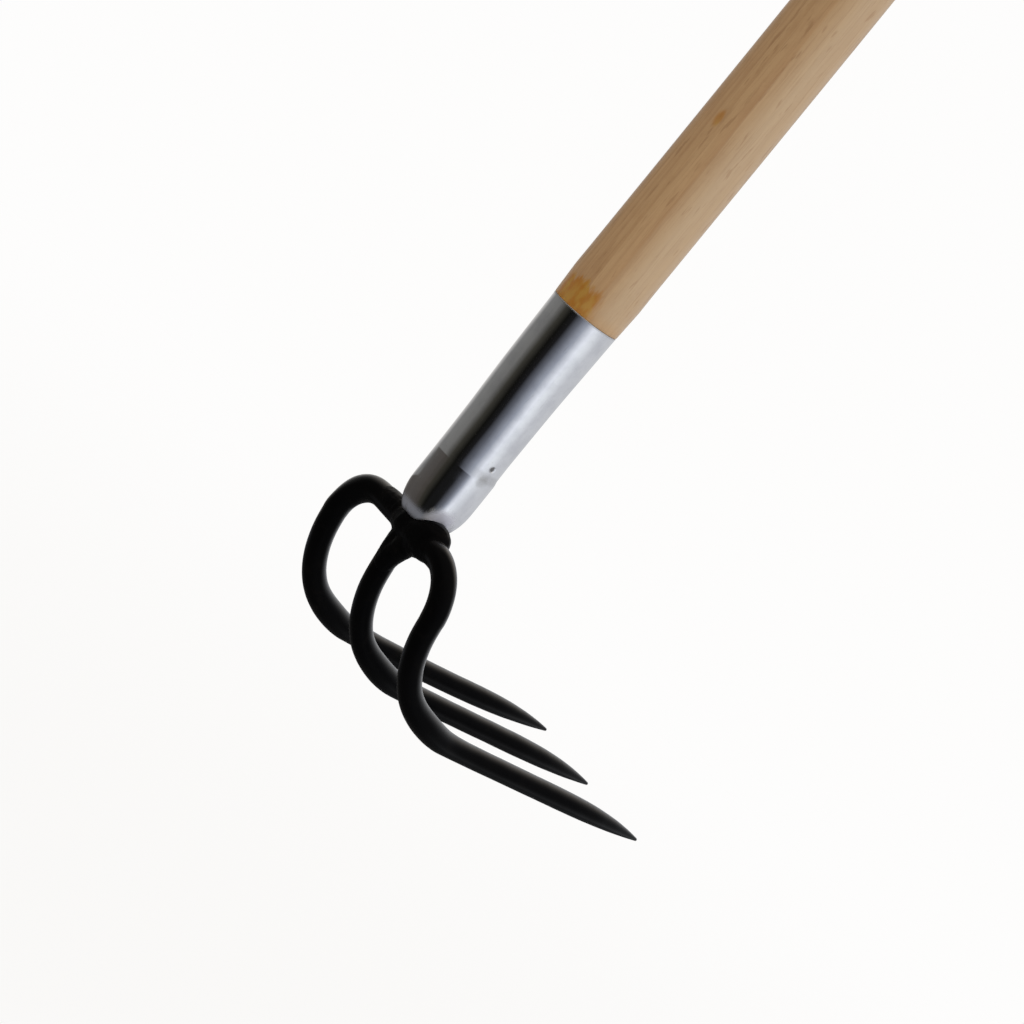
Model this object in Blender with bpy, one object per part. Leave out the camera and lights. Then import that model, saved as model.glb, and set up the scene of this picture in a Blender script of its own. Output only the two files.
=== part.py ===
"""A three-tine soil cultivator with a long wooden handle, as an assembly of separate pieces.

Metres, +Z up the handle, +Y the way the prongs point, +X across the tines. The origin is on the
handle's axis in the plane of the ferrule's mouth, where the wood enters the metal. The head is made
of three round bars: the middle one carries a square tang that is driven up into the handle, and the
two side bars bow out of the neck, where one mass of weld metal joins all three.
"""

import math

import bmesh
import bpy
from mathutils import Matrix, Vector

MM = 0.001
GAP = 0.3 * MM  # left between pieces that touch

# Wooden handle
HANDLE_DIAMETER = 28.0 * MM
HANDLE_LENGTH = 1200.0 * MM  # from the ferrule's mouth to the butt
HANDLE_LEAD_IN = 12.0 * MM  # stretch over which the wood narrows to the ferrule
BUTT_ROUND = 9.0 * MM
BUTT_ROUND_MOST = 0.8  # of the handle's radius, so that a flat stays on the butt

# Steel ferrule, from its closed lower end up to its mouth
FERRULE_LENGTH = 93.3 * MM
FERRULE_MOUTH_DIAMETER = 27.0 * MM
FERRULE_MOUTH_EDGE = 0.3 * MM  # rounding of the mouth's outer edge
FERRULE_WAIST_DIAMETER = 24.4 * MM
FERRULE_CUP_DIAMETER = 25.1 * MM
FERRULE_END_DIAMETER = 12.0 * MM  # the flat that is left below the rounding
FERRULE_END_COPE = 2.4 * MM  # how far the end comes down over the side bars, which it is cut out for
FERRULE_ROUND_HEIGHT = 13.6 * MM  # the cup's rounded bottom
FERRULE_CUP_LENGTH = 12.8 * MM
FERRULE_STEP_LENGTH = 2.6 * MM
FERRULE_WAIST_LENGTH = 6.0 * MM
FERRULE_WALL = 1.0 * MM

# Cross pin through ferrule, wood and tang
PIN_DIAMETER = 1.8 * MM
PIN_RECESS = 0.2 * MM  # how far its ends lie below the ferrule's surface

# Bars of the head
SIDE_BAR_DIAMETER = 9.3 * MM
CENTRE_BAR_DIAMETER = 8.5 * MM
HEEL_DIAMETER = 8.4 * MM  # at the end of the heel bend
HEEL_SWELL = 0.8 * MM  # extra half thickness in the heel, where the bar was upset by the bending
HEEL_SWELL_BACK = 12.0 * MM  # the swell's middle lies this far before the bend's end
HEEL_SWELL_LENGTH = 14.0 * MM
PRONG_DIAMETER = 8.2 * MM
POINT_DIAMETER = 1.0 * MM
TINE_SPREAD = 36.4 * MM  # middle tine to side tine
SHOULDER_RADIUS = 17.6 * MM
NECK_SETBACK = 1.2 * MM  # the bars lie this far behind the handle's axis
SHANK_RADIUS = 96.0 * MM
SHANK_ANGLE = math.radians(13.0)
HEEL_RADIUS = 41.1 * MM
PRONG_RISE = math.radians(2.2)  # above level, towards the points
PRONG_LENGTH = 112.0 * MM
LEFT_PRONG_EXTRA_LENGTH = 2.8 * MM
LEFT_PRONG_EXTRA_RISE = math.radians(0.5)
TAPER_LENGTH = 57.0 * MM
TAPER_POWER = 3.0
TAPER_MOST = 0.9  # of the prong's length
POINT_DROP = 1.5 * MM  # the taper is ground more from above

# Square tang on the middle bar
TANG_LENGTH = 70.0 * MM  # in the wood
TANG_WIDTH = 7.2 * MM
TANG_END_WIDTH = 4.2 * MM
TANG_SQUARING_LENGTH = 8.0 * MM

# Weld metal around the neck, laid by hand, so it reaches further towards some sides
WELD_THICKNESS = 1.7 * MM  # over the side bars
WELD_RIGHT_REACH = 8.0 * MM
WELD_LEFT_REACH = 4.0 * MM
WELD_SIDE_FOCUS = 4  # a higher focus makes a narrower lobe
WELD_CROWN_REACH = 5.5 * MM  # up beside the ferrule's rounding
WELD_CROWN_AIM = (0.85, 0.28, 0.42)
WELD_CROTCH_REACH = 3.0 * MM  # down between the middle and the right bar
WELD_CROTCH_AIM = (0.60, 0.0, -0.80)
WELD_CORNER_FOCUS = 8

# Fineness of the meshes
ROUND_SIDES = 32
BAR_SIDES = 16
PIN_SIDES = 12
CORNER_STEPS = 5
SHOULDER_STEPS = 9
BEND_STEPS = 12
PRONG_STEPS = 3
TAPER_STEPS = 9
WELD_SUBDIVISIONS = 3
SMOOTH_BELOW = math.radians(40.0)

# Heights, lengths and radii that follow from the sizes above
Z_END = -FERRULE_LENGTH
Z_WAIST = Z_END + FERRULE_ROUND_HEIGHT + FERRULE_CUP_LENGTH + FERRULE_STEP_LENGTH
Z_PIN = Z_WAIST + FERRULE_WAIST_LENGTH / 2
Z_TENON = Z_END + FERRULE_END_COPE
Z_SHOULDER = Z_TENON - GAP - SIDE_BAR_DIAMETER / 2
PIN_LENGTH = FERRULE_WAIST_DIAMETER - 2 * PIN_RECESS
SHANK_LENGTH = SHANK_RADIUS * SHANK_ANGLE
SHANK_FALL = SHANK_RADIUS * math.sin(SHANK_ANGLE)
HEEL_END = SHANK_LENGTH + HEEL_RADIUS * (math.pi / 2 + PRONG_RISE - SHANK_ANGLE)


def clear_scene():
    for obj in list(bpy.data.objects):
        bpy.data.objects.remove(obj, do_unlink=True)


def finish_material(name, colour, roughness, metallic):
    material = bpy.data.materials.new(name)
    material.use_nodes = True
    shader = material.node_tree.nodes["Principled BSDF"]
    shader.inputs["Base Color"].default_value = (*colour, 1.0)
    shader.inputs["Roughness"].default_value = roughness
    shader.inputs["Metallic"].default_value = metallic
    return material


def add_object(name, bm, material=None, location=(0.0, 0.0, 0.0)):
    """Puts a closed mesh into the scene, facing out and shaded smooth between its sharp edges."""
    bmesh.ops.recalc_face_normals(bm, faces=bm.faces)
    mesh = bpy.data.meshes.new(name)
    bm.to_mesh(mesh)
    bm.free()
    mesh.shade_smooth()
    mesh.set_sharp_from_angle(angle=SMOOTH_BELOW)
    obj = bpy.data.objects.new(name, mesh)
    obj.location = location
    if material:
        mesh.materials.append(material)
    bpy.context.scene.collection.objects.link(obj)
    return obj


def add_cutter(name, bm, location=(0.0, 0.0, 0.0)):
    cutter = add_object(name, bm, None, location)
    cutter.hide_render = True
    cutter.display_type = "WIRE"
    return cutter


def cut(obj, *cutters):
    for cutter in cutters:
        modifier = obj.modifiers.new("cut_" + cutter.name, "BOOLEAN")
        modifier.operation = "DIFFERENCE"
        modifier.solver = "EXACT"
        modifier.object = cutter


def join_rings(bm, rings):
    """Faces between neighbouring rings of vertices. A ring of one vertex is a pole."""
    for low, high in zip(rings, rings[1:]):
        sides = max(len(low), len(high))
        for i in range(sides):
            j = (i + 1) % sides
            corners = [low[i % len(low)], low[j % len(low)], high[j % len(high)], high[i % len(high)]]
            bm.faces.new(list(dict.fromkeys(corners)))


def turned(profile, sides):
    """A shape turned about Z from (radius, height) points that start and end on the axis."""
    bm = bmesh.new()
    turn = [2 * math.pi * i / sides for i in range(sides)]
    rings = []
    for radius, height in profile:
        if radius <= 0:
            rings.append([bm.verts.new((0.0, 0.0, height))])
        else:
            rings.append([bm.verts.new((radius * math.cos(a), radius * math.sin(a), height)) for a in turn])
    join_rings(bm, rings)
    return bm


def swept(path, half_widths, across, squareness=None):
    """A bar along a path that starts square to `across`. Squareness is 0 where it is round, 1 square."""
    squareness = squareness or [0.0] * len(path)
    bm = bmesh.new()
    rings = []
    for i, point in enumerate(path):
        ahead = (path[min(i + 1, len(path) - 1)] - path[max(i - 1, 0)]).normalized()
        across = (across - ahead * across.dot(ahead)).normalized()
        up = ahead.cross(across)
        ring = []
        for k in range(BAR_SIDES):
            a = 2 * math.pi * k / BAR_SIDES
            to_square = 1 / max(abs(math.cos(a)), abs(math.sin(a)))
            reach = half_widths[i] * (1 - squareness[i] + squareness[i] * to_square)
            ring.append(bm.verts.new(point + reach * (math.cos(a) * across + math.sin(a) * up)))
        rings.append(ring)
    join_rings(bm, rings)
    bm.faces.new(rings[0])
    bm.faces.new(rings[-1])
    bmesh.ops.triangulate(bm, faces=bm.faces, quad_method="FIXED")
    return bm


def ferrule_outline():
    """(radius, height) of the ferrule's outer side, from its flat end up to the mouth."""
    cup = FERRULE_CUP_DIAMETER / 2
    end = FERRULE_END_DIAMETER / 2
    waist = FERRULE_WAIST_DIAMETER / 2
    mouth = FERRULE_MOUTH_DIAMETER / 2
    points = []
    for i in range(CORNER_STEPS + 1):
        a = math.pi / 2 * i / CORNER_STEPS
        points.append((end + (cup - end) * math.sin(a), Z_END + FERRULE_ROUND_HEIGHT * (1 - math.cos(a))))
    points.append((cup, Z_WAIST - FERRULE_STEP_LENGTH))
    points.append((waist, Z_WAIST))
    points.append((waist, Z_WAIST + FERRULE_WAIST_LENGTH))
    points.append((mouth, -FERRULE_MOUTH_EDGE))
    points.append((mouth - FERRULE_MOUTH_EDGE, 0.0))
    return points


def ferrule_inside(inset, floor):
    """The same line moved in by a wall and up to a floor, for the ferrule's bore and for the tenon."""
    outline = ferrule_outline()
    inner = [(radius - inset, max(height, floor)) for radius, height in outline[:-2]]
    return inner + [(FERRULE_MOUTH_DIAMETER / 2 - inset, 0.0)]


def make_ferrule(material):
    floor = Z_END + FERRULE_WALL
    profile = [(0.0, Z_END)] + ferrule_outline() + ferrule_inside(FERRULE_WALL, floor)[::-1] + [(0.0, floor)]
    return add_object("ferrule", turned(profile, ROUND_SIDES), material)


def ferrule_room():
    """The space that the ferrule takes below its mouth, kept free of weld metal."""
    outline = [(radius + GAP, height) for radius, height in ferrule_outline()]
    profile = [(0.0, Z_END - GAP), (outline[0][0], Z_END - GAP)] + outline[1:] + [(0.0, 0.0)]
    return turned(profile, ROUND_SIDES)


def make_handle(material):
    """One turned piece: the tenon that fills the ferrule, the pole, and a rounded butt."""
    radius = HANDLE_DIAMETER / 2
    butt_round = min(BUTT_ROUND, BUTT_ROUND_MOST * radius)
    tenon = ferrule_inside(FERRULE_WALL + GAP, Z_TENON)
    profile = [(0.0, Z_TENON)] + tenon[:-1]
    profile += [(tenon[-1][0], GAP), (FERRULE_MOUTH_DIAMETER / 2, GAP), (radius, HANDLE_LEAD_IN)]
    for i in range(CORNER_STEPS + 1):
        a = math.pi / 2 * i / CORNER_STEPS
        inwards = butt_round * (1 - math.cos(a))
        profile.append((radius - inwards, HANDLE_LENGTH - butt_round * (1 - math.sin(a))))
    profile.append((0.0, HANDLE_LENGTH))
    return add_object("handle", turned(profile, ROUND_SIDES), material)


def tine_point(distance, rise=PRONG_RISE):
    """Forward and downward from the shoulder line, along the shank's arc, the heel's arc and the prong."""
    turned_by = min(distance, SHANK_LENGTH) / SHANK_RADIUS
    forward = SHANK_RADIUS * (1 - math.cos(turned_by))
    fall = SHANK_RADIUS * math.sin(turned_by)
    if distance > SHANK_LENGTH:
        turned_by = SHANK_ANGLE + (min(distance, HEEL_END) - SHANK_LENGTH) / HEEL_RADIUS
        forward += HEEL_RADIUS * (math.cos(SHANK_ANGLE) - math.cos(turned_by))
        fall += HEEL_RADIUS * (math.sin(turned_by) - math.sin(SHANK_ANGLE))
    beyond = max(distance - HEEL_END, 0.0)
    return forward + beyond * math.cos(rise), fall - beyond * math.sin(rise)


def distance_at(fall):
    """The distance along a tine at which it has fallen this far, on the shank or in the heel."""
    if fall <= SHANK_FALL:
        return SHANK_RADIUS * math.asin(fall / SHANK_RADIUS)
    turned_by = math.asin(min((fall - SHANK_FALL) / HEEL_RADIUS + math.sin(SHANK_ANGLE), 1.0))
    return SHANK_LENGTH + HEEL_RADIUS * (turned_by - SHANK_ANGLE)


def evenly(start, end, steps):
    return [start + (end - start) * i / steps for i in range(steps)]


def lower_tine(x, start, root_diameter, prong_length, rise, grown):
    """Centreline points and half widths from a distance on the shank down to the prong's point."""
    end = HEEL_END + prong_length
    taper = min(TAPER_LENGTH, TAPER_MOST * prong_length)
    distances = evenly(start, HEEL_END, BEND_STEPS) + evenly(HEEL_END, end - taper, PRONG_STEPS)
    distances += evenly(end - taper, end, TAPER_STEPS) + [end]
    path = []
    half_widths = []
    for distance in distances:
        forward, fall = tine_point(distance, rise)
        ground = max(0.0, 1 - (end - distance) / taper) ** TAPER_POWER
        swell = HEEL_SWELL * math.exp(-(((distance - HEEL_END + HEEL_SWELL_BACK) / HEEL_SWELL_LENGTH) ** 2))
        inwards = math.sqrt(2) * swell
        path.append(Vector((x, forward + inwards, inwards - fall - POINT_DROP * ground)))
        down_the_bend = min(distance / HEEL_END, 1.0)
        along_the_prong = max(0.0, min((distance - HEEL_END) / (prong_length - taper), 1.0))
        diameter = root_diameter + (HEEL_DIAMETER - root_diameter) * down_the_bend
        diameter += (PRONG_DIAMETER - HEEL_DIAMETER) * along_the_prong
        diameter += (POINT_DIAMETER - diameter) * ground
        half_widths.append(diameter / 2 + swell + grown)
    return path, half_widths


def side_bar(side, prong_length=PRONG_LENGTH, rise=PRONG_RISE, grown=0.0):
    """A side tine: level out of the neck, down round the shoulder, and forward at the heel."""
    root = CENTRE_BAR_DIAMETER / 2 + GAP - grown
    bend_start = TINE_SPREAD - SHOULDER_RADIUS
    path = [Vector((root, 0.0, 0.0)), Vector(((root + bend_start) / 2, 0.0, 0.0))]
    for angle in evenly(0.0, math.pi / 2, SHOULDER_STEPS):
        fall = SHOULDER_RADIUS * (1 - math.cos(angle))
        forward, _ = tine_point(distance_at(fall))
        path.append(Vector((bend_start + SHOULDER_RADIUS * math.sin(angle), forward, -fall)))
    half_widths = [SIDE_BAR_DIAMETER / 2 + grown] * len(path)
    start = distance_at(SHOULDER_RADIUS)
    lower, lower_widths = lower_tine(TINE_SPREAD, start, SIDE_BAR_DIAMETER, prong_length, rise, grown)
    path = [Vector((side * p.x, p.y, p.z)) for p in path + lower]
    return swept(path, half_widths + lower_widths, Vector((0.0, 1.0, 0.0)))


def centre_bar(grown=0.0):
    """The middle tine and its tang in one bar, from the tang's end down to the point."""
    round_up_to = Z_TENON - Z_SHOULDER
    square_from = round_up_to + TANG_SQUARING_LENGTH
    heights = [round_up_to + TANG_LENGTH + grown, square_from, (square_from + round_up_to) / 2, round_up_to]
    diameters = [TANG_END_WIDTH, TANG_WIDTH, (TANG_WIDTH + CENTRE_BAR_DIAMETER) / 2, CENTRE_BAR_DIAMETER]
    path = [Vector((0.0, NECK_SETBACK * min(height / square_from, 1.0), height)) for height in heights]
    half_widths = [diameter / 2 + grown for diameter in diameters]
    lower, lower_widths = lower_tine(0.0, 0.0, CENTRE_BAR_DIAMETER, PRONG_LENGTH, PRONG_RISE, grown)
    squareness = [1.0, 1.0, 0.5] + [0.0] * (1 + len(lower))
    return swept(path + lower, half_widths + lower_widths, Vector((1.0, 0.0, 0.0)), squareness)


def weld_mass():
    """A hand-laid lump over the neck: large on the right, and nearly bare under the left bar."""
    lobes = (
        ((1.0, 0.0, 0.0), WELD_RIGHT_REACH, WELD_SIDE_FOCUS),
        ((-1.0, 0.0, 0.0), WELD_LEFT_REACH, WELD_SIDE_FOCUS),
        (WELD_CROWN_AIM, WELD_CROWN_REACH, WELD_CORNER_FOCUS),
        (WELD_CROTCH_AIM, WELD_CROTCH_REACH, WELD_CORNER_FOCUS),
    )
    bm = bmesh.new()
    bmesh.ops.create_icosphere(bm, subdivisions=WELD_SUBDIVISIONS, radius=1.0)
    for vert in bm.verts:
        outwards = vert.co.normalized()
        reach = SIDE_BAR_DIAMETER / 2 + WELD_THICKNESS
        for aim, extra, focus in lobes:
            reach += extra * max(outwards.dot(Vector(aim).normalized()), 0.0) ** focus
        vert.co = outwards * reach
    return bm


def cross_rod(diameter, length):
    """A rod along X, centred on the origin."""
    bm = bmesh.new()
    along_x = Matrix.Rotation(math.pi / 2, 4, "Y")
    radius = diameter / 2
    bmesh.ops.create_cone(
        bm, cap_ends=True, segments=PIN_SIDES, radius1=radius, radius2=radius, depth=length, matrix=along_x
    )
    return bm


def main():
    clear_scene()
    wood = finish_material("varnished_wood", (0.40, 0.25, 0.13), 0.5, 0.0)
    plated = finish_material("plated_steel", (0.62, 0.63, 0.66), 0.22, 1.0)
    painted = finish_material("black_painted_steel", (0.004, 0.004, 0.005), 0.4, 0.0)
    dark = finish_material("dark_steel", (0.05, 0.05, 0.055), 0.45, 1.0)

    neck = (0.0, -NECK_SETBACK, Z_SHOULDER)
    pin_centre = (0.0, 0.0, Z_PIN)
    left_length = PRONG_LENGTH + LEFT_PRONG_EXTRA_LENGTH
    left_rise = PRONG_RISE + LEFT_PRONG_EXTRA_RISE
    handle = make_handle(wood)
    ferrule = make_ferrule(plated)
    pin = add_object("ferrule_pin", cross_rod(PIN_DIAMETER, PIN_LENGTH), dark, pin_centre)
    centre = add_object("tine_centre", centre_bar(), painted, neck)
    right = add_object("tine_right", side_bar(1), painted, neck)
    left = add_object("tine_left", side_bar(-1, left_length, left_rise), painted, neck)
    weld = add_object("neck_weld", weld_mass(), painted, neck)

    hole = cross_rod(PIN_DIAMETER + 2 * GAP, FERRULE_MOUTH_DIAMETER + HANDLE_DIAMETER)
    pin_hole = add_cutter("pin_hole", hole, pin_centre)
    centre_room = add_cutter("centre_bar_room", centre_bar(grown=GAP), neck)
    right_room = add_cutter("right_bar_room", side_bar(1, grown=GAP), neck)
    left_room = add_cutter("left_bar_room", side_bar(-1, left_length, left_rise, GAP), neck)
    end_room = add_cutter("ferrule_end_room", ferrule_room())

    cut(handle, centre_room, pin_hole)
    cut(ferrule, centre_room, right_room, left_room, pin_hole)
    cut(centre, pin_hole)
    cut(weld, centre_room, right_room, left_room, end_room)

    tool = bpy.data.objects.new("cultivator", None)
    bpy.context.scene.collection.objects.link(tool)
    for piece in (handle, ferrule, pin, centre, right, left, weld):
        piece.parent = tool


main()
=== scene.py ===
# %% [markdown]
# # Dressing a three-tine cultivator
#
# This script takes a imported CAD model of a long-handled soil cultivator and gives it the looks of
# the real tool: varnished hardwood, a bright plated ferrule that mirrors the studio, and a head of
# forged bars under black enamel. The model comes in as a fixed frame. Nothing in it is moved or
# resized, and each finer piece made here stands exactly where its solid stands.

# %% Load the frame
import math

import bmesh
import bpy
from mathutils import Matrix, Vector, noise


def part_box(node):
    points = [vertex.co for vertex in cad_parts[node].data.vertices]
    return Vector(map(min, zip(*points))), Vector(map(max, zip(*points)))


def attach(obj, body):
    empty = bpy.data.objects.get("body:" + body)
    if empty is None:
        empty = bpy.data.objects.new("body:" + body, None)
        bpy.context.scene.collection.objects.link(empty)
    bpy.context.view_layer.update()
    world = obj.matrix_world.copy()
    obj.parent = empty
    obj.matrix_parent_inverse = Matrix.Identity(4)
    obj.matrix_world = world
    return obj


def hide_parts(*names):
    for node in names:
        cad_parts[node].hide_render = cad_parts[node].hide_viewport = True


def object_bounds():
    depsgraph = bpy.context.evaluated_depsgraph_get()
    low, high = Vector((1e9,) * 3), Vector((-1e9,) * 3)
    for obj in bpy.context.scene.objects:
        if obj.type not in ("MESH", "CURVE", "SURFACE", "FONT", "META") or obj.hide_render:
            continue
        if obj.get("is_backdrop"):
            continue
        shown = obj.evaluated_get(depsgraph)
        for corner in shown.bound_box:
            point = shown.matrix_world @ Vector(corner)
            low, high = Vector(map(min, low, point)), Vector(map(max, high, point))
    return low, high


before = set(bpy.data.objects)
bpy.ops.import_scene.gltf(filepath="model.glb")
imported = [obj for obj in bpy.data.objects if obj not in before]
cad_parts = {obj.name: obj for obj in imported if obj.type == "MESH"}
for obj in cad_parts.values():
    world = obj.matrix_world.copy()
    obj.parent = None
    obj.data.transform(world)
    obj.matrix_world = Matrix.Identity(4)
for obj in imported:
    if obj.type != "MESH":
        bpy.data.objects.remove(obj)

MM = 0.001
BODY = "root"
cad_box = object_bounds()
print("CAD box in mm:", [tuple(round(v / MM, 1) for v in corner) for corner in cad_box])

# %% [markdown]
# ## Where the camera stands
#
# The tool is long and thin, so a picture of the whole would show little of its head. The camera
# looks at the neck from the right and slightly from above, and is rolled so that the handle leaves
# the frame at the upper right. Its place is worked out from two angles about the ferrule, and the
# roll from the slope that the handle should have in the picture.

# %% Camera
AZIMUTH = math.radians(45.96)  # round the handle, from straight behind the tool
ELEVATION = math.radians(8.80)
HANDLE_SLOPE = math.radians(50.80)  # of the handle in the picture, above level
DISTANCE = 1.6  # in metres, as every length here
FOCAL_LENGTH = 161.5  # in mm, as a lens is named
LOOKED_AT = Vector((0.0, 0.0, -89.0 * MM))
ASIDE = 30.4 * MM  # the ferrule's end stands this far left of the picture's middle

back = Vector((
    math.sin(AZIMUTH) * math.cos(ELEVATION),
    -math.cos(AZIMUTH) * math.cos(ELEVATION),
    math.sin(ELEVATION),
))
level = Vector((math.cos(AZIMUTH), math.sin(AZIMUTH), 0.0))
upright = back.cross(level)
right = level * math.sin(HANDLE_SLOPE) + upright * math.cos(HANDLE_SLOPE)
stand = LOOKED_AT + back * DISTANCE


def looking(place, target, sideways):
    """Where a camera or lamp stands so that it faces a target, with its right side towards sideways."""
    behind = (place - target).normalized()
    across = (sideways - behind * sideways.dot(behind)).normalized()
    axes = Matrix((across, behind.cross(across), behind)).transposed()
    return Matrix.Translation(place) @ axes.to_4x4()


camera = bpy.data.objects.new("camera", bpy.data.cameras.new("camera"))
camera.data.lens = FOCAL_LENGTH
camera.matrix_world = looking(stand, LOOKED_AT + right * ASIDE, right)
bpy.context.scene.collection.objects.link(camera)
bpy.context.scene.camera = camera
print("camera at", tuple(round(v, 3) for v in stand))

# %% [markdown]
# ## Writing shader maths as sums
#
# A material in Blender is a net of nodes. Wired by hand in Python, even `1 - mask` takes five
# lines. So one small class holds an output socket and overloads the arithmetic signs, and each sign
# adds the node that does it. Values go through Math nodes and vectors through Vector Math. A
# second class holds the net itself and adds every other kind of node through one method.


# %% Wires
class Wire:
    """An output socket of a net. Arithmetic on it adds the nodes that do the sum."""

    def __init__(self, net, socket):
        self.net = net
        self.socket = socket

    def _sum(self, operation, first, second):
        kind = "ShaderNodeVectorMath" if self.socket.type == "VECTOR" else "ShaderNodeMath"
        return self.net.node(kind, {"operation": operation}, {0: first, 1: second})

    def __add__(self, other):
        return self._sum("ADD", self, other)

    def __radd__(self, other):
        return self._sum("ADD", other, self)

    def __sub__(self, other):
        return self._sum("SUBTRACT", self, other)

    def __rsub__(self, other):
        return self._sum("SUBTRACT", other, self)

    def __mul__(self, other):
        return self._sum("MULTIPLY", self, other)

    def __rmul__(self, other):
        return self._sum("MULTIPLY", other, self)

    def __truediv__(self, other):
        return self._sum("DIVIDE", self, other)

    def __rtruediv__(self, other):
        return self._sum("DIVIDE", other, self)


print("signs that a wire takes:", "+ - * /")


# %% Nets and finishes
class Net:
    """The nodes of one material or world."""

    def __init__(self, tree):
        self.tree = tree

    def node(self, kind, settings=None, inputs=None, output=0):
        """Adds a node: first its settings, then values or wires for its sockets. Gives one output."""
        made = self.tree.nodes.new(kind)
        for name, value in (settings or {}).items():
            if name == "stops":
                self._set_stops(made.color_ramp, value)
            else:
                setattr(made, name, value)
        for name, value in (inputs or {}).items():
            self.feed(made.inputs[name], value)
        return Wire(self, made.outputs[output])

    def feed(self, socket, value):
        if isinstance(value, Wire):
            self.tree.links.new(value.socket, socket)
        else:
            socket.default_value = value

    @staticmethod
    def _set_stops(ramp, stops):
        while len(ramp.elements) < len(stops):
            ramp.elements.new(1.0)
        for element, (place, colour) in zip(ramp.elements, stops):
            element.position = place
            element.color = (*colour, 1.0)

    def step(self, value, low, high):
        """0 below low, 1 above high, and smooth between. It falls instead where low is above high."""
        inputs = {"Value": value, "From Min": low, "From Max": high}
        return self.node("ShaderNodeMapRange", {"interpolation_type": "SMOOTHSTEP"}, inputs)

    def blend(self, share, first, second):
        """A colour that goes from the first to the second as share goes from 0 to 1."""
        return self.node("ShaderNodeMix", {"data_type": "RGBA"}, {0: share, 6: first, 7: second}, 2)

    def length(self, place):
        """How far a place lies from zero."""
        return self.node("ShaderNodeVectorMath", {"operation": "LENGTH"}, {0: place}, 1)

    def clouds(self, place, scale, detail=3.0, roughness=0.5):
        """Noise from about 0.25 to 0.75, with lumps of about 1 / scale in size."""
        inputs = {"Vector": place, "Scale": scale, "Detail": detail, "Roughness": roughness}
        return self.node("ShaderNodeTexNoise", {}, inputs)


class Finish(Net):
    """A material of one Principled shader, with its constants set on its own sockets."""

    def __init__(self, name, **constants):
        self.material = bpy.data.materials.new(name)
        self.material.use_nodes = True
        super().__init__(self.material.node_tree)
        self.shader = self.tree.nodes["Principled BSDF"]
        for socket, value in constants.items():
            self.wear(socket.replace("_", " "), value)
        self.place = self.node("ShaderNodeTexCoord", output=3)

    def wear(self, socket, value):
        self.feed(self.shader.inputs[socket], value)

    def split(self, place):
        """The x, y and z of a place, as three wires."""
        first = self.node("ShaderNodeSeparateXYZ", {}, {0: place})
        return [Wire(self, first.socket.node.outputs[i]) for i in range(3)]

    def relief(self, height, depth, strength=1.0):
        """Lets a height from 0 to 1 stand out by a depth in metres."""
        inputs = {"Height": height, "Distance": depth, "Strength": strength}
        self.wear("Normal", self.node("ShaderNodeBump", {}, inputs))


def paint(r, g, b):
    """A shader colour from the red, green and blue of 0 to 255 that the eye sees."""
    linear = [c / 255 / 12.92 if c < 11 else ((c / 255 + 0.055) / 1.055) ** 2.4 for c in (r, g, b)]
    return (*linear, 1.0)


print("middle grey is", tuple(round(v, 3) for v in paint(128, 128, 128)))

# %% [markdown]
# ## The studio
#
# Polished metal has no colour of its own: it shows the room. So the room comes before the metal. A
# photographer would hang a tent of pale cloth round the tool, with one black flag at the left for
# contrast, dark cloth below and a soft box at the right. Here the tent is a flattened sphere that
# only reflections see. The camera sees the white world behind it, and the wood is lit by a soft lamp
# at the right and by the sky, which is brighter on that side too.

# %% World
SKY_LIGHT = 0.70
SKY_LEAN = 0.32  # how much more of it comes from the right than from all round
SKY_TONE = (1.0, 0.945, 0.85, 1.0)  # the sky is a little warm beside the lamp
WHITE = (0.985, 0.98, 0.975, 1.0)


def seen_directly(net):
    """1 for rays from the camera, a mirror or glass, and 0 for the light that falls on things."""
    path = net.node("ShaderNodeLightPath").socket.node
    rays = [Wire(net, path.outputs[f"Is {ray} Ray"]) for ray in ("Camera", "Glossy", "Transmission")]
    return net.step(rays[0] + rays[1] + rays[2], 0.0, 1.0)


world = bpy.data.worlds.new("studio")
world.use_nodes = True
bpy.context.scene.world = world
sky = Net(world.node_tree)
background = world.node_tree.nodes["Background"]
seen = seen_directly(sky)
sky.feed(background.inputs["Color"], sky.blend(seen, SKY_TONE, WHITE))
to_right = sky.node("ShaderNodeVectorMath", {"operation": "DOT_PRODUCT"},
                    {0: sky.node("ShaderNodeTexCoord"), 1: level}, 1)
skylight = SKY_LIGHT * (1 + to_right * SKY_LEAN)
sky.feed(background.inputs["Strength"], skylight + seen * (1 - skylight))
print("sky light from the far left and right:", [round(SKY_LIGHT * (1 + s * SKY_LEAN), 2) for s in (-1, 1)])

# %% Floor
FLOOR_DROP = 0.9  # the tool hangs from a clip, well above the floor
FLOOR_SIZE = 60.0
FLOOR_NEAR = 2.5  # cloth that takes the shadow up to here, and plain white from far on
FLOOR_FAR = 6.0
FLOOR_PLAIN = 0.88  # how much of the near cloth the camera sees as plain white


def add_mesh(name, bm, finish):
    """Puts a mesh into the scene, facing out and shaded smooth."""
    bmesh.ops.recalc_face_normals(bm, faces=bm.faces)
    mesh = bpy.data.meshes.new(name)
    bm.to_mesh(mesh)
    bm.free()
    mesh.shade_smooth()
    mesh.materials.append(finish.material)
    made = bpy.data.objects.new(name, mesh)
    bpy.context.scene.collection.objects.link(made)
    return made


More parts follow.
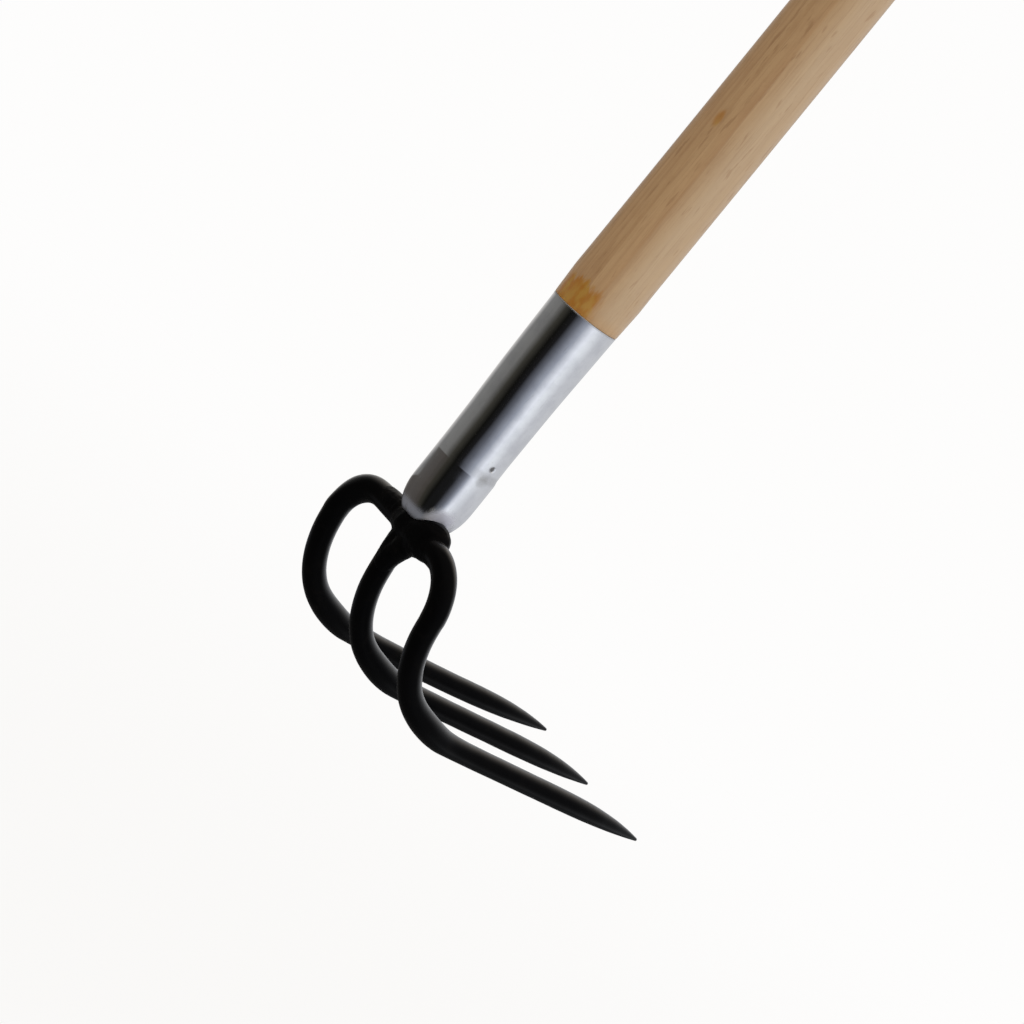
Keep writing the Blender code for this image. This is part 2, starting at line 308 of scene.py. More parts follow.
def floor_finish():
    """Pale cloth that the camera sees nearly white, and that still takes the tool's shadow."""
    net = Finish("pale_floor", Roughness=0.9)
    weave = net.clouds(net.place, 400.0)
    net.wear("Base Color", net.blend(weave, paint(246, 245, 243), paint(254, 253, 251)))
    glow = net.node("ShaderNodeEmission", {}, {"Color": WHITE})
    plain = FLOOR_PLAIN + net.step(net.length(net.place), FLOOR_NEAR, FLOOR_FAR) * (1 - FLOOR_PLAIN)
    shares = {0: seen_directly(net) * plain, 1: Wire(net, net.shader.outputs[0]), 2: glow}
    mixed = net.node("ShaderNodeMixShader", {}, shares)
    net.feed(net.tree.nodes["Material Output"].inputs["Surface"], mixed)
    return net


bm = bmesh.new()
bmesh.ops.create_grid(bm, x_segments=8, y_segments=8, size=FLOOR_SIZE / 2)
floor = add_mesh("floor", bm, floor_finish())
floor.location = (0.0, 0.0, cad_box[0].z - FLOOR_DROP)
floor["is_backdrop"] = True
print("floor height in mm:", round(floor.location.z / MM, 1))

# %% The tent that the metal mirrors
TENT_RADIUS = 2.4
TENT_DEPTH = 0.88  # below the neck, just above the floor
TENT_SEGMENTS = 96
TENT_PANELS = (  # degrees to the right of the camera, and the panel's tone
    (-180, (0.85, 0.83, 0.80)),
    (-150, (0.52, 0.51, 0.50)),
    (-128, (0.22, 0.22, 0.215)),
    (-84, (0.18, 0.178, 0.172)),
    (-60, (0.046, 0.044, 0.036)),
    (-38, (0.006, 0.006, 0.005)),
    (-20, (0.012, 0.012, 0.013)),
    (0, (0.135, 0.145, 0.175)),
    (23, (0.38, 0.41, 0.48)),
    (48, (0.93, 0.97, 1.05)),
    (62, (0.89, 0.93, 0.98)),
    (90, (0.66, 0.68, 0.72)),
    (180, (0.60, 0.61, 0.63)),
)
LOWER_FLAG_TURN = 20.0  # degrees that the dark flag reaches further right below
LOWER_LEFT_SHARE = 0.62  # how much of the dark curtain covers the left below

# In each pair of degrees a change starts at the first and is done at the second. Slopes and climbs
# count upwards, and turns to the right of the camera.
LOW_SLOPES = (-2.2, -3.4)  # only the ferrule's cup leans over enough to mirror what lies below
TABLE_SLOPES = (-19.0, -25.0)
UNDER_SLOPES = (-34.0, -48.0)
TOP_CLIMBS = (22.0, 45.0)
FLAG_TURNS = ((-30.0, -5.0), (45.0, 20.0))
CURTAIN_TURNS = (-48.0, -82.0)

CURTAIN_TONE = (0.022, 0.010, 0.003, 1.0)
TABLE_TONE = (0.27, 0.28, 0.31, 1.0)
UNDER_TONE = (0.07, 0.07, 0.075, 1.0)  # dark cloth under the tool keeps the bars' undersides black
TOP_TONE = (1.20, 1.10, 1.00, 1.0)  # a warm soft box hangs over the tool


def tent_finish():
    """Cloth panels that shine with their own tone, chosen by the direction from the tool.

    slope is how far an upright wall at the tool would have to lean back to mirror that direction to the
    camera. The panels change at one slope, so a change shows at one height all round the ferrule."""
    net = Finish("tent_cloth", Roughness=1.0)
    x, y, z = net.split(net.place)
    around = net.node("ShaderNodeMath", {"operation": "ARCTAN2"}, {0: y, 1: x}) * (180 / math.pi)
    away = net.length(net.place)
    climb = net.node("ShaderNodeMath", {"operation": "ARCSINE"}, {0: z / away}) * (180 / math.pi)
    facing = net.node("ShaderNodeMath", {"operation": "COSINE"}, {0: around * (math.pi / 360)})
    slope = (climb + math.degrees(ELEVATION)) / (facing * 2 + 0.02)  # 0.02 keeps it finite behind the tool
    low = net.step(slope, *LOW_SLOPES)
    bent = low * net.step(around, *FLAG_TURNS[0]) * net.step(around, *FLAG_TURNS[1])
    share = (around - bent * LOWER_FLAG_TURN + 180.0) / 360.0
    stops = [((angle + 180.0) / 360.0, tone) for angle, tone in TENT_PANELS]
    cloth = net.node("ShaderNodeValToRGB", {"stops": stops}, {0: share})
    curtain = low * net.step(around, *CURTAIN_TURNS) * LOWER_LEFT_SHARE
    cloth = net.blend(curtain, cloth, CURTAIN_TONE)
    cloth = net.blend(net.step(slope, *TABLE_SLOPES), cloth, TABLE_TONE)
    cloth = net.blend(net.step(slope, *UNDER_SLOPES), cloth, UNDER_TONE)
    cloth = net.blend(net.step(climb, *TOP_CLIMBS), cloth, TOP_TONE)
    glow = net.node("ShaderNodeEmission", {}, {"Color": cloth})
    net.feed(net.tree.nodes["Material Output"].inputs["Surface"], glow)
    return net


bm = bmesh.new()
bmesh.ops.create_uvsphere(bm, u_segments=TENT_SEGMENTS, v_segments=TENT_SEGMENTS // 2, radius=TENT_RADIUS)
for vert in bm.verts:
    if vert.co.z < 0:
        vert.co.z *= TENT_DEPTH / TENT_RADIUS
tent = add_mesh("tent", bm, tent_finish())
tent.location = LOOKED_AT
tent.rotation_euler.z = AZIMUTH - math.pi / 2
tent.visible_camera = False
tent.visible_diffuse = False
tent.visible_shadow = False
tent.visible_transmission = False
tent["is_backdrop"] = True
print("tent panels:", len(TENT_PANELS))

# %% Lamp
LAMP_TURN = math.radians(72.0)  # to the right of the camera
LAMP_CLIMB = math.radians(30.0)
LAMP_DISTANCE = 3.0
LAMP_SIZE = 2.2
LAMP_SHARE = 0.33  # of full white, on a surface that faces the lamp
LAMP_TONE = (0.88, 1.01, 1.20)

lamp_way = AZIMUTH - math.pi / 2 + LAMP_TURN
lamp_place = LOOKED_AT + LAMP_DISTANCE * Vector((
    math.cos(lamp_way) * math.cos(LAMP_CLIMB),
    math.sin(lamp_way) * math.cos(LAMP_CLIMB),
    math.sin(LAMP_CLIMB),
))
lamp = bpy.data.objects.new("soft_lamp", bpy.data.lights.new("soft_lamp", "AREA"))
lamp.data.shape = "SQUARE"
lamp.data.size = LAMP_SIZE
lamp.data.color = LAMP_TONE
lamp.data.energy = LAMP_SHARE * (math.pi * LAMP_DISTANCE) ** 2
lamp.matrix_world = looking(lamp_place, LOOKED_AT, level)
lamp.visible_glossy = False
bpy.context.scene.collection.objects.link(lamp)
print("lamp power in watts:", round(lamp.data.energy, 1))

# %% [markdown]
# ## The sizes that the pieces share
#
# The frame gives each piece's box. Sizes that are read from those boxes can't drift away from the
# solids, so they are read first. A turned or drawn piece is then built from rings of points, because
# a ring can follow any profile, and a skin of faces joins each ring to the next.

# %% Shared sizes
ferrule_low, ferrule_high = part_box("ferrule")
handle_low, handle_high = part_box("handle")
pin_low, pin_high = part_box("ferrule_pin")
Z_END = ferrule_low.z
Z_PIN = (pin_low.z + pin_high.z) / 2
MOUTH_RADIUS = ferrule_high.x
HANDLE_RADIUS = handle_high.x
print("radii of mouth and handle in mm:", round(MOUTH_RADIUS / MM, 2), round(HANDLE_RADIUS / MM, 2))


# %% Rings and skins
def skin(bm, rings, cap=True):
    """Faces over rings of points, closed at both ends by a fan when cap is set."""
    rows = [[bm.verts.new(p) for p in ring] for ring in rings]
    count = len(rows[0])
    for low, high in zip(rows, rows[1:]):
        for i in range(count):
            j = (i + 1) % count
            bm.faces.new((low[i], low[j], high[j], high[i]))
    if cap:
        for row in (rows[0], rows[-1]):
            middle = bm.verts.new(sum((v.co for v in row), Vector()) / count)
            for i in range(count):
                bm.faces.new((row[i], row[(i + 1) % count], middle))
    return rows


def steps_of(low, high, step):
    """Places from low up to high, about a step apart and without the last."""
    count = max(1, round(abs(high - low) / step))
    return [low + (high - low) * i / count for i in range(count)]


print("from 0 to 1 in steps of 0.25:", steps_of(0.0, 1.0, 0.25))

# %% [markdown]
# ## The wooden handle
#
# The pole is turned from straight-grained hardwood and varnished thinly. A solid texture suits it:
# the growth rings are cylinders round a heart that lies outside the pole, so the same rule draws
# long streaks down its side and arcs across its butt, as in a real board. Fine pores are noise that
# is stretched along the grain. The side of the pole towards the lamp is greyer: partly sapwood,
# partly a painted sheen of the lamp on the varnish. Beside the ferrule the varnish has soaked in as
# an amber stain.

# %% Varnished wood
GRAIN_HEART = (-74.0 * MM, 38.0 * MM, 0.0)
RING_WIDTH = 2.6 * MM
SAPWOOD_AND_SHEEN_SIDE = (0.70, 0.72)  # the greyer side, towards the lamp: partly sapwood, partly painted sheen of the lamp
GRAIN_STRETCH = 0.03
STAIN_HEIGHT = 9.5 * MM
STAIN_MIDDLE = math.radians(-76.0)
STAIN_HALF_WIDTH = math.radians(44.0)
STAIN_SPOT = (3.6 * MM, -13.5 * MM, 82.0 * MM)


def wood_finish():
    net = Finish("varnished_wood", Coat_Roughness=0.22, Coat_IOR=1.45)
    x, y, z = net.split(net.place)
    along = net.place * (1.0, 1.0, GRAIN_STRETCH)
    wander = net.clouds(along, 90.0, 2.0)
    heart = net.length((along - GRAIN_HEART) * (1.0, 1.0, 0.0))
    rings = net.node("ShaderNodeMath", {"operation": "FRACT"}, {0: heart / RING_WIDTH + wander * 3.2})
    late = net.step(rings, 0.35, 0.92) * (1 - net.step(rings, 0.94, 1.0))
    pores = net.step(net.clouds(along, 1500.0, 4.0, 0.65), 0.50, 0.72)
    streaks = net.clouds(along, 330.0, 3.0)
    pale = net.step(net.clouds(along, 520.0, 2.0), 0.56, 0.72)
    mottle = net.clouds(net.place * (1.0, 1.0, 0.22), 210.0, 4.0, 0.65)
    flecks = net.step(net.clouds(net.place * (1.0, 1.0, 0.16), 560.0, 2.0), 0.61, 0.70)
    broad = net.clouds(along, 45.0, 2.0)
    across = x * SAPWOOD_AND_SHEEN_SIDE[0] + y * SAPWOOD_AND_SHEEN_SIDE[1] + (wander - 0.5) * (5.0 * MM)
    # painted sheen: the side towards the lamp is greyer, partly as sapwood and partly as the lamp's sheen
    # on the varnish
    sapwood_and_sheen = net.step(across, -1.0 * MM, 9.0 * MM) * 0.374 + net.step(across, -0.4 * MM, 0.5 * MM) * 0.132

    colour = net.blend(net.step(broad, 0.32, 0.68), paint(180, 140, 95), paint(188, 152, 110))
    colour = net.blend(late * 0.28, colour, paint(160, 117, 74))
    colour = net.blend(net.step(streaks, 0.42, 0.74) * 0.32, colour, paint(155, 112, 70))
    colour = net.blend(net.step(mottle, 0.44, 0.76) * 0.38, colour, paint(157, 114, 72))
    colour = net.blend(pale * 0.30, colour, paint(203, 168, 126))
    # greys the lamp's side: partly sapwood, partly painted sheen
    colour = net.blend(sapwood_and_sheen, colour, paint(178, 159, 132))
    colour = net.blend(pores * 0.30, colour, paint(142, 100, 60))
    colour = net.blend(flecks * 0.36, colour, paint(138, 95, 55))

    ragged = net.clouds(net.place * (1.0, 1.0, 0.25), 420.0, 3.0, 0.6)
    patchy = net.clouds(net.place * (1.0, 1.0, 0.5), 300.0, 2.0)
    turn = net.node("ShaderNodeMath", {"operation": "ARCTAN2"}, {0: y, 1: x})
    off = net.node("ShaderNodeMath", {"operation": "ABSOLUTE"}, {0: turn - STAIN_MIDDLE})
    beside = net.step(off + (ragged - 0.5) * 0.5, STAIN_HALF_WIDTH, STAIN_HALF_WIDTH * 0.62)
    top = STAIN_HEIGHT + (ragged - 0.5) * (11.0 * MM)
    stain = beside * net.step(z - top, 1.6 * MM, -1.6 * MM)
    soak = net.step(z, 6.0 * MM, 0.0) * 0.45
    colour = net.blend(soak, colour, paint(176, 134, 84))
    amber = net.blend(net.step(patchy, 0.42, 0.62), paint(172, 112, 22), paint(178, 132, 48))
    colour = net.blend(stain * (0.72 + ragged * 0.5), colour, amber)
    spot = net.length((net.place - STAIN_SPOT) * (1.0, 1.0, 0.5))
    colour = net.blend(net.step(spot + ragged * (1.5 * MM), 2.9 * MM, 1.6 * MM) * 0.7, colour, amber)
    net.wear("Base Color", colour)
    net.wear("Roughness", 0.5 + (streaks - 0.5) * 0.2 - stain * 0.12)
    net.wear("Coat Weight", 0.34 + stain * 0.2)
    net.relief(pores * 0.5 + late * 0.3 + streaks * 0.4, 0.06 * MM, 0.5)
    return net


wood = wood_finish()
print("nodes in the wood:", len(wood.tree.nodes))

# %% Handle
HANDLE_COLUMNS = 128
TENON_INSET = 1.4 * MM  # from the outer side of the ferrule's mouth to the wood in it
LEAD_IN = 12.0 * MM  # the pole thickens to its full size over this length
BUTT_ROUND = 9.0 * MM
HANDLE_WANDER = 0.12 * MM


def handle_profile():
    """(radius, height) of the pole, from the tenon's end up to the butt."""
    tenon = MOUTH_RADIUS - TENON_INSET
    points = [
        (6.5 * MM, handle_low.z),
        (tenon - 2.2 * MM, handle_low.z + 8 * MM),
        (tenon - 1.5 * MM, -66 * MM),
        (tenon, 0.02 * MM),
        (MOUTH_RADIUS - 0.25 * MM, 0.02 * MM),
        (MOUTH_RADIUS, 0.35 * MM),
    ]
    for height in steps_of(1.5 * MM, LEAD_IN, 1.0 * MM):
        points.append((MOUTH_RADIUS + (HANDLE_RADIUS - MOUTH_RADIUS) * height / LEAD_IN, height))
    points += [(HANDLE_RADIUS, h) for h in steps_of(LEAD_IN, handle_high.z - BUTT_ROUND, 8.0 * MM)]
    for a in steps_of(0.0, math.pi / 2, math.pi / 32):
        inwards = BUTT_ROUND * (1 - math.cos(a))
        points.append((HANDLE_RADIUS - inwards, handle_high.z - BUTT_ROUND * (1 - math.sin(a))))
    points.append((HANDLE_RADIUS - BUTT_ROUND, handle_high.z))
    return points


def make_handle():
    """The pole, a hair out of true as wood is, but never past its turned radius."""
    bm = bmesh.new()
    rings = []
    for radius, height in handle_profile():
        ring = []
        for i in range(HANDLE_COLUMNS):
            a = 2 * math.pi * i / HANDLE_COLUMNS
            lump = 0.5 + noise.noise(Vector((math.cos(a), math.sin(a), height * 9)))
            true = radius - HANDLE_WANDER * min(max(lump, 0.0), 1.0) * (height > LEAD_IN)
            ring.append(Vector((true * math.cos(a), true * math.sin(a), height)))
        rings.append(ring)
    skin(bm, rings)
    return add_mesh("wooden_pole", bm, wood)


handle = make_handle()
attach(handle, BODY)
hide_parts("handle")
print("handle faces:", len(handle.data.polygons))

# %% [markdown]
# ## The plated ferrule
#
# It is a drawn steel sleeve, a little wider at its mouth, with a waist pressed in by the crimp that
# holds it, and a rounded end that is closed over the neck. The press left its step on one side only,
# and a dimple below the pin. The dimple and the crease under the waist are darkened with painted
# shade, and beside the neck a dull, light grey patch on the plating is a painted highlight. A lathe
# shape gives the sleeve, and the uneven marks are moved into its rings, because a mirror finish shows
# every real slope and a bump map looks painted on.

# %% Ferrule sizes
FERRULE_WALL = 1.0 * MM
WAIST_RADIUS = 12.2 * MM
CUP_RADIUS = 12.55 * MM
END_RADIUS = 6.0 * MM
ROUND_HEIGHT = 13.6 * MM
CUP_LENGTH = 12.8 * MM
STEP_LENGTH = 2.6 * MM
WAIST_LENGTH = 6.0 * MM
Z_WAIST = Z_END + ROUND_HEIGHT + CUP_LENGTH + STEP_LENGTH
MOUTH_EDGE = 0.15 * MM  # the mouth's edge is rounded this much
STEP_SIDE = math.radians(30.0)  # the step shows most on this side
PLAIN_INSET = 0.1 * MM  # on the other side the cup is this much slimmer
NARROW_INSET = 0.45 * MM  # and the wall above it runs down to this much slimmer than the cup

# A mark is its turn, height, radius, depth and how steep its edge is.
DIMPLE = (math.radians(-1.0), Z_PIN - 5.6 * MM, 3.2 * MM, 0.22 * MM, 2)
PIN_DENT = (0.0, Z_PIN, 1.30 * MM, 0.32 * MM, 4)
PAINTED_HIGHLIGHT_SPOT = (10.6 * MM, -0.9 * MM, -87.6 * MM)  # the middle of a light, dull patch painted as a highlight beside the weld
WAVINESS = 0.06 * MM
FRONT = math.radians(-44.0)  # towards the camera
LEAN = 0.072  # inward slope of the cup's front, where the press held it
LEAN_FADE = 8.0 * MM  # it fades out over the start of the rounded bottom
OVAL = 0.22 * MM  # how far the press made the lower half oval
SHEER = 0.75 * MM  # how far the press pushed the lower end aside
SHEER_WAY = Vector((0.695, 0.719, 0.0))
print("waist height and pin height in mm:", round(Z_WAIST / MM, 2), round(Z_PIN / MM, 2))


# %% Bright plating
def plated_finish():
    net = Finish("plated_steel")
    x, y, z = net.split(net.place)
    along = net.place * (1.0, 1.0, 0.12)
    haze = net.clouds(net.place, 120.0, 4.0, 0.6)
    scuffs = net.step(net.clouds(along, 900.0, 4.0, 0.7), 0.60, 0.74)
    specks = net.step(net.clouds(net.place, 1300.0, 2.0), 0.70, 0.76)
    rim = net.step(z + haze * (3.0 * MM), Z_END + 10.5 * MM, Z_END + 4.0 * MM)
    lip = net.step(z, -0.9 * MM, -0.2 * MM)
    ragged = net.clouds(net.place, 420.0, 3.0, 0.6)
    facing = (x * math.cos(STEP_SIDE) + y * math.sin(STEP_SIDE)) / CUP_RADIUS + haze * 0.5
    # painted shade: the crease below the waist, on the pressed side, is darkened as if shade lay in it
    painted_crease_shade = net.step(z, Z_WAIST - 3.4 * MM, Z_WAIST - 1.4 * MM) * net.step(z, Z_WAIST + 1.6 * MM, Z_WAIST)
    painted_crease_shade = painted_crease_shade * net.step(facing, 0.5, 1.1)
    mark = (math.cos(DIMPLE[0]) * CUP_RADIUS, math.sin(DIMPLE[0]) * CUP_RADIUS, DIMPLE[1])
    reach = net.length(net.place - mark)
    pin_reach = net.length((net.place - (0.0, 0.0, Z_PIN)) * (0.0, 1.0, 1.0))
    # painted shade: the dimple below the pin and the crease are darkened, as if shade lay in them
    grime_and_painted_shade = net.step(reach + ragged * (3.2 * MM), 4.6 * MM, 2.2 * MM) * 0.40 + painted_crease_shade * 0.35
    stuck = net.step(pin_reach + ragged * (0.8 * MM), 1.9 * MM, 1.3 * MM)
    # painted highlight: a light grey, less metallic patch on the plating beside the weld
    painted_highlight = net.step(net.length(net.place - PAINTED_HIGHLIGHT_SPOT) + ragged * (2.0 * MM), 8.4 * MM, 3.6 * MM)
    colour = net.blend(net.step(haze, 0.35, 0.70), (0.80, 0.80, 0.81, 1.0), (0.70, 0.70, 0.72, 1.0))
    colour = net.blend(scuffs * 0.35, colour, (0.55, 0.54, 0.54, 1.0))
    colour = net.blend(specks * 0.35, colour, (0.40, 0.38, 0.36, 1.0))
    colour = net.blend(rim * 0.25 + lip * 0.5, colour, (0.42, 0.41, 0.41, 1.0))
    # darkens the dimple and the crease: painted shade
    colour = net.blend(grime_and_painted_shade, colour, (0.36, 0.35, 0.34, 1.0))
    colour = net.blend(stuck * 0.55, colour, (0.16, 0.155, 0.15, 1.0))
    # the patch beside the weld: painted highlight
    colour = net.blend(painted_highlight, colour, (0.50, 0.50, 0.57, 1.0))
    net.wear("Base Color", colour)
    net.wear("Metallic", 1 - painted_highlight * 0.7)
    dull = scuffs * 0.10 + grime_and_painted_shade * 0.25 + stuck * 0.3 + rim * 0.32 + lip * 0.35 + painted_highlight * 0.3
    net.wear("Roughness", 0.06 + net.step(haze, 0.40, 0.75) * 0.05 + dull)
    net.relief(scuffs * 0.5 + net.clouds(along, 260.0), 0.03 * MM, 0.35)
    return net


plating = plated_finish()
print("nodes in the plating:", len(plating.tree.nodes))

# %% Ferrule shape
RINGS_UP_TO = (  # rings stand this close together up to this height, and closest about the pin
    (Z_PIN - 12.0 * MM, 0.8 * MM),
    (Z_PIN - 1.6 * MM, 0.35 * MM),
    (Z_PIN + 1.6 * MM, 0.15 * MM),
    (-1.0 * MM, 1.2 * MM),
)
FINE_SPAN = 0.30  # of turn, to either side of the pin's two ends
FINE_TURN = 0.012
COARSE_TURN = 0.05


def ferrule_radius(height):
    """The sleeve's radius at a height, on the side with the pressed step."""
    above = height - Z_END
    if above < ROUND_HEIGHT:
        lift = math.acos(max(1 - above / ROUND_HEIGHT, 0.0))
        return END_RADIUS + (CUP_RADIUS - END_RADIUS) * math.sin(lift)
    if height < Z_WAIST:
        share = max(0.0, (height - Z_WAIST + STEP_LENGTH) / STEP_LENGTH)
        share = share * share * (3 - 2 * share)
        return CUP_RADIUS + (WAIST_RADIUS - CUP_RADIUS) * share
    if height < Z_WAIST + WAIST_LENGTH:
        return WAIST_RADIUS
    share = (height - Z_WAIST - WAIST_LENGTH) / (-Z_WAIST - WAIST_LENGTH)
    return WAIST_RADIUS + (MOUTH_RADIUS - WAIST_RADIUS) * min(share, 1.0)


def plain_radius(height):
    """The same on the side without the step: straight down from the mouth, then level into the cup."""
    if height < Z_END + ROUND_HEIGHT:
        return ferrule_radius(height) * (1 - PLAIN_INSET / CUP_RADIUS)
    narrow = CUP_RADIUS - NARROW_INSET
    straight = narrow + (MOUTH_RADIUS - narrow) * (height - Z_WAIST) / -Z_WAIST
    return max(CUP_RADIUS - PLAIN_INSET, straight)


def eased(value, start, end):
    """0 before start, 1 after end, and smooth between."""
    share = min(max((value - start) / (end - start), 0.0), 1.0)
    return share * share * (3 - 2 * share)


def dent(turn, height, radius, mark):
    """How far a round mark pushes the surface in at a place on the sleeve."""
    mark_turn, mark_height, size, depth, edge = mark
    around = math.remainder(turn - mark_turn, 2 * math.pi) * radius
    away = math.hypot(around, height - mark_height) / size
    return depth * max(0.0, 1 - away**edge) ** 2


def leaned(below):
    """How far in the lean has come at this far below the step. It stops growing in the round bottom."""
    share = min(max((below - CUP_LENGTH) / LEAN_FADE, 0.0), 1.0)
    return LEAN * (min(max(below, 0.0), CUP_LENGTH + LEAN_FADE) - LEAN_FADE * (share**3 - share**4 / 2))


def ferrule_turns():
    """Angles round the sleeve, packed closer about the two ends of the pin."""
    fine = steps_of(-FINE_SPAN, FINE_SPAN, FINE_TURN)
    coarse = steps_of(FINE_SPAN, math.pi - FINE_SPAN, COARSE_TURN)
    half = fine + coarse
    return half + [a + math.pi for a in half]


def ferrule_point(turn, height, inset):
    """A point of the sleeve, inset from its outer side. The step fades out round the far side."""
    pressed = min(1.0, 1.6 * (0.5 + 0.5 * math.cos(turn - STEP_SIDE)))
    radius = plain_radius(height) * (1 - pressed) + ferrule_radius(height) * pressed
    radius -= leaned(Z_WAIST - STEP_LENGTH - height) * eased(math.cos(turn - FRONT), 0.0, 0.5)
    radius += OVAL * math.sin(2 * (turn - FRONT)) * eased(-height, 20 * MM, 50 * MM)
    ahead = Vector((math.cos(turn), math.sin(turn), 0.0))
    radius -= WAVINESS * (0.5 + 0.5 * noise.noise(Vector((ahead.x * 1.3, ahead.y * 1.3, height * 30))))
    for mark in (DIMPLE, PIN_DENT, (math.pi, *PIN_DENT[1:])):
        radius -= dent(turn, height, radius, mark)
    aside = SHEER * eased(-height, 25 * MM, 80 * MM) * SHEER_WAY
    return ahead * (radius - inset) + aside + Vector((0.0, 0.0, height))


def make_ferrule():
    turns = ferrule_turns()
    heights = [Z_END + ROUND_HEIGHT * (1 - math.cos(a)) for a in steps_of(0.0, math.pi / 2, 0.04)]
    start = Z_END + ROUND_HEIGHT
    for end, gap in RINGS_UP_TO:
        heights += steps_of(start, end, gap)
        start = end
    rings = [[ferrule_point(t, h, 0.0) for t in turns] for h in heights]
    for a in steps_of(0.0, math.pi / 2, math.pi / 8):
        inset = MOUTH_EDGE * (1 - math.cos(a))
        height = -MOUTH_EDGE * (1 - math.sin(a))
        rings.append([ferrule_point(t, height, inset) for t in turns])
    rings.append([ferrule_point(t, 0.0, FERRULE_WALL) for t in turns])
    inner = steps_of(-1.0 * MM, Z_END + ROUND_HEIGHT, 4.0 * MM)
    inner += steps_of(Z_END + ROUND_HEIGHT, Z_END + 2 * MM, 1.2 * MM)
    rings += [[ferrule_point(t, h, FERRULE_WALL) for t in turns] for h in inner]
    bm = bmesh.new()
    rows = skin(bm, rings, cap=False)
    for i in range(len(turns)):
        j = (i + 1) % len(turns)
        bm.faces.new((rows[-1][i], rows[-1][j], rows[0][j], rows[0][i]))
    return add_mesh("plated_ferrule", bm, plating)


ferrule = make_ferrule()
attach(ferrule, BODY)
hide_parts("ferrule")
print("ferrule faces:", len(ferrule.data.polygons))

# %% [markdown]
# ## The pin
#
# A thin steel pin goes through ferrule, tenon and tang. All that shows is its end, upset a little by
# the hammer and sitting just below the plating, so it gets a domed end and a dull dark finish.


# %% Pin
def dark_steel_finish():
    net = Finish("dark_pin_steel", Metallic=1.0)
    # plain grime on the pin: random darker and lighter patches of the dark steel
    grime_and_painted_shade = net.clouds(net.place, 1800.0, 4.0, 0.6)
    net.wear("Base Color", net.blend(grime_and_painted_shade, (0.16, 0.16, 0.17, 1.0), (0.30, 0.29, 0.28, 1.0)))
    net.wear("Roughness", 0.55 + grime_and_painted_shade * 0.3)
    net.relief(grime_and_painted_shade, 0.05 * MM, 0.6)
    return net


PIN_SIDES = 32
PIN_DOME = 0.18 * MM
PIN_DOME_ANGLES = (0.15, 0.5, 0.9, 1.25, math.pi / 2)
PIN_PROUD = 0.22 * MM  # of the bottom of the dent that the hammer left round it


def make_pin():
    radius = (pin_high.z - pin_low.z) / 2
    left_end = ferrule_point(math.pi, Z_PIN, 0.0).x - PIN_PROUD
    right_end = ferrule_point(0.0, Z_PIN, 0.0).x + PIN_PROUD
    dome = [(radius * math.sin(a), PIN_DOME * (1 - math.cos(a))) for a in PIN_DOME_ANGLES]
    points = [(r, left_end + inset) for r, inset in dome]
    points += [(r, right_end - inset) for r, inset in reversed(dome)]
    bm = bmesh.new()
    turns = [2 * math.pi * i / PIN_SIDES for i in range(PIN_SIDES)]
    skin(bm, [[Vector((x, r * math.cos(t), Z_PIN + r * math.sin(t))) for t in turns] for r, x in points])
    return add_mesh("pin", bm, dark_steel_finish())


pin = make_pin()
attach(pin, BODY)
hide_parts("ferrule_pin")
print("pin length in mm:", round(pin.dimensions.x / MM, 1))
print("its length in the frame:", round(2 * pin_high.x / MM, 1))

# %% [markdown]
# ## The tines
#
# Each tine is a round bar that the smith bent hot round a former and then drew out to a point. One
# function follows the centre of the bar: a wide arc down the shank, a tight arc at the heel, then a
# nearly straight prong. Its radii don't follow from any box, so they are written out here, as the
# smith would know them. Rings of points are laid square to that line. The hammer leaves faint flats
# on a drawn bar, so the rings are eased in by smooth noise, never out. The enamel is near black and
# shines only where it is seen at a slant. Dust and, on the undersides, soil have dulled it.


# %% Black enamel
def enamel_finish(name, grain, gloss):
    """Black enamel: deep black to look into, glossy along its edges, and duller where it is dusty."""
    net = Finish(name, Specular_IOR_Level=0.015, Coat_Roughness=0.20,
                 Sheen_Weight=0.08, Sheen_Roughness=0.3)
    pool = net.clouds(net.place, 70.0, 3.0)
    peel = net.clouds(net.place, 900.0, 2.0)
    dust = net.step(net.clouds(net.place, 260.0, 4.0, 0.6), 0.52, 0.78)
    colour = net.blend(pool, (0.0012, 0.0012, 0.0016, 1.0), (0.0022, 0.0021, 0.0023, 1.0))
    colour = net.blend(dust * 0.4, colour, (0.0055, 0.0046, 0.0040, 1.0))
    net.wear("Base Color", colour)
    net.wear("Roughness", 0.34 + net.step(pool, 0.35, 0.7) * 0.12 + dust * 0.15)
    slant = net.node("ShaderNodeLayerWeight", {}, {"Blend": 0.5}, 1)
    _, _, upward = net.split(net.node("ShaderNodeTexCoord", output=1))
    scoured = net.step(upward, -0.08, -0.55) * 0.85  # soil keeps the undersides dull
    net.wear("Coat Weight", net.step(slant, 0.30, 0.70) * (1.1 - dust * 0.3) * gloss * (1 - scoured))
    net.relief(peel * 0.4 + pool + net.clouds(net.place, grain) * 0.6, 0.12 * MM, 0.5)
    return net


enamel = enamel_finish("black_enamel", 320.0, 0.95)
print("nodes in the enamel:", len(enamel.tree.nodes))

